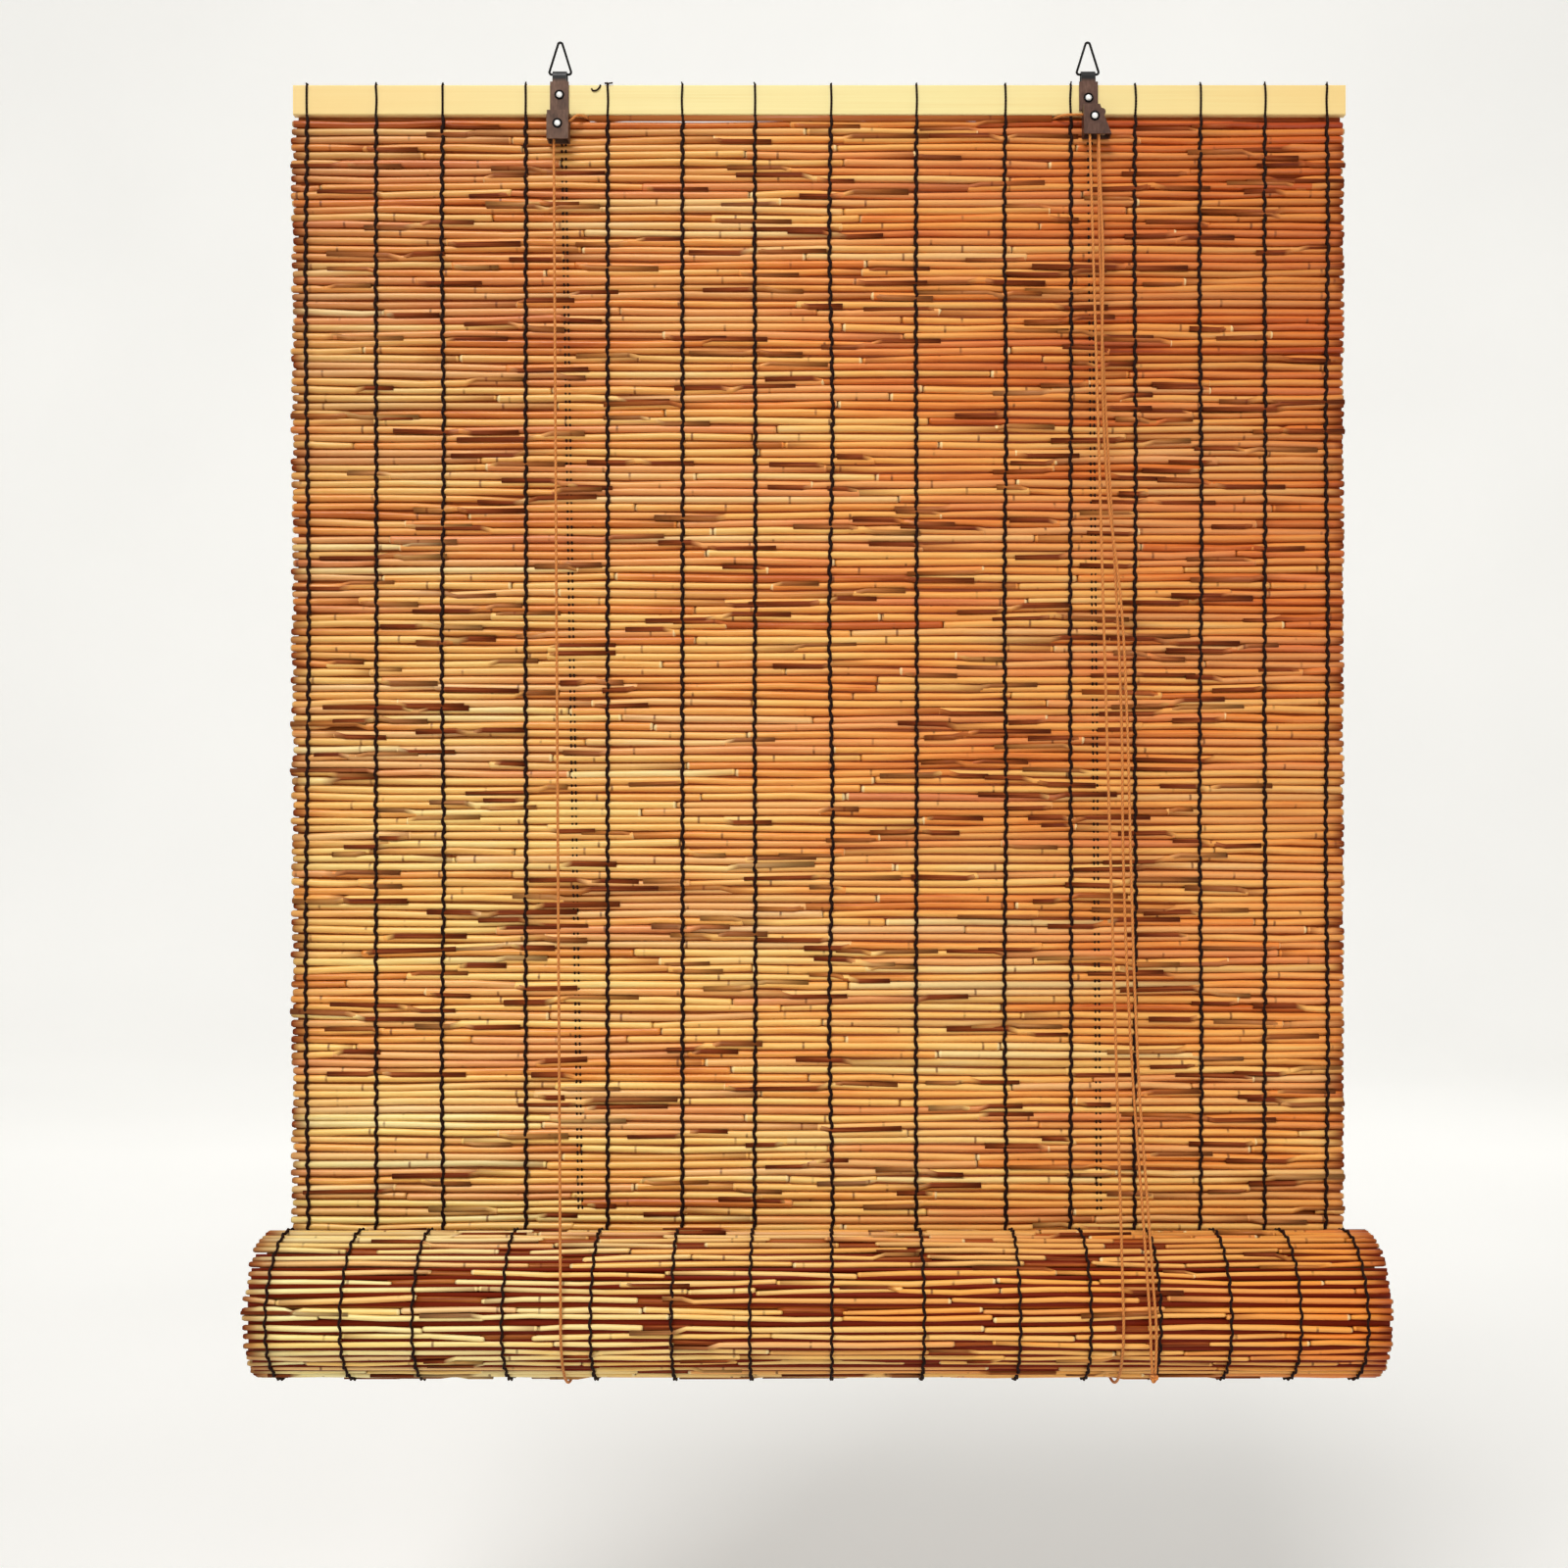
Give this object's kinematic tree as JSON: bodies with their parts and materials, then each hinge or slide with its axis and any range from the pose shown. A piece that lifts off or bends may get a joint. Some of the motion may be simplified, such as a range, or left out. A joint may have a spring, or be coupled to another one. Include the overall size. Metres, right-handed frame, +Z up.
{
  "type": "reed roll-up blind",
  "caption": "Roll-up window blind of varnished reeds bound by dark warps, hung from a wooden header slat with wire rings and lifted by cords through a cord lock.",
  "frame": {"origin": "middle of the header slat's top edge, halfway through its thickness", "axes": "+X to the right seen from the front, the front faces -Y, +Z up"},
  "size_m": [0.9, 0.136, 1.1272],
  "materials": {
    "header_wood": "pale planed softwood, thin varnish",
    "reed": "golden tan varnished reed",
    "warp_thread": "dark brown twisted thread",
    "rod_wood": "plain turned wood",
    "clip_metal": "bronze-brown lacquered sheet",
    "lock_metal": "dark bronze lacquered sheet",
    "ring_wire": "black lacquered wire",
    "rivet_metal": "bright nickel rivet",
    "pulley_plastic": "tan moulded plastic",
    "cord": "terracotta twisted cord"
  },
  "bodies": {
    "header": {"header_slat": "header_wood", "header_stitches": "warp_thread", "hanging_mat": "reed", "front_warps": "warp_thread", "back_warps": "warp_thread", "left_clip": "clip_metal", "right_clip": "clip_metal", "left_rivet": "rivet_metal", "right_rivet": "rivet_metal", "left_housing": "clip_metal", "lock_housing": "lock_metal", "left_axle": "rivet_metal", "lock_axle": "rivet_metal", "left_loop": "cord", "lock_loops": "cord", "cross_cord": "cord", "left_front_strand": "cord", "right_front_strand": "cord", "left_back_strand": "cord", "right_back_strand": "cord", "pull_strand_a": "cord", "pull_strand_b": "cord", "pull_knot": "cord"},
    "cord_slings": {"left_sling": "cord", "right_sling": "cord"},
    "roll": {"mat_roll": "reed", "roll_warps": "warp_thread", "bottom_rod": "rod_wood"},
    "left_ring": {"left_ring": "ring_wire"},
    "right_ring": {"right_ring": "ring_wire"},
    "left_pulley": {"left_pulley": "pulley_plastic"},
    "lock_pulley": {"lock_pulley": "pulley_plastic"},
    "lock_roller": {"lock_roller": "pulley_plastic"}
  },
  "joints": [
    {"name": "roll_lift", "type": "slide", "parent": "header", "child": "cord_slings", "axis": [0, 0, 1], "range_m": [0, 0.88], "deforming": ["hanging_mat", "front_warps", "back_warps", "left_front_strand", "right_front_strand", "left_back_strand", "right_back_strand", "pull_strand_a", "pull_strand_b", "pull_knot"]},
    {"name": "roll_turn", "type": "hinge", "parent": "cord_slings", "child": "roll", "pos_m": [0, -0.05765, -1.02495], "axis": [1, 0, 0], "range_deg": [-876, 0]},
    {"name": "left_ring_swing", "type": "hinge", "parent": "header", "child": "left_ring", "pos_m": [-0.222, 0, 0.01005], "axis": [1, 0, 0], "range_deg": [-85, 85]},
    {"name": "right_ring_swing", "type": "hinge", "parent": "header", "child": "right_ring", "pos_m": [0.23, 0, 0.01005], "axis": [1, 0, 0], "range_deg": [-85, 85]},
    {"name": "left_pulley_spin", "type": "hinge", "parent": "header", "child": "left_pulley", "pos_m": [-0.222, -0.01085, -0.0379], "axis": [0, 1, 0], "continuous": true},
    {"name": "lock_pulley_spin", "type": "hinge", "parent": "header", "child": "lock_pulley", "pos_m": [0.2335, -0.01085, -0.0316], "axis": [0, 1, 0], "continuous": true},
    {"name": "lock_roller_slide", "type": "slide", "parent": "header", "child": "lock_roller", "axis": [-0.3688, 0, 0.9295], "range_m": [0, 0.003]}
  ],
  "couplings": [
    {"joint": "roll_turn", "follows": "roll_lift", "rad_per_m": -17.346}
  ]
}
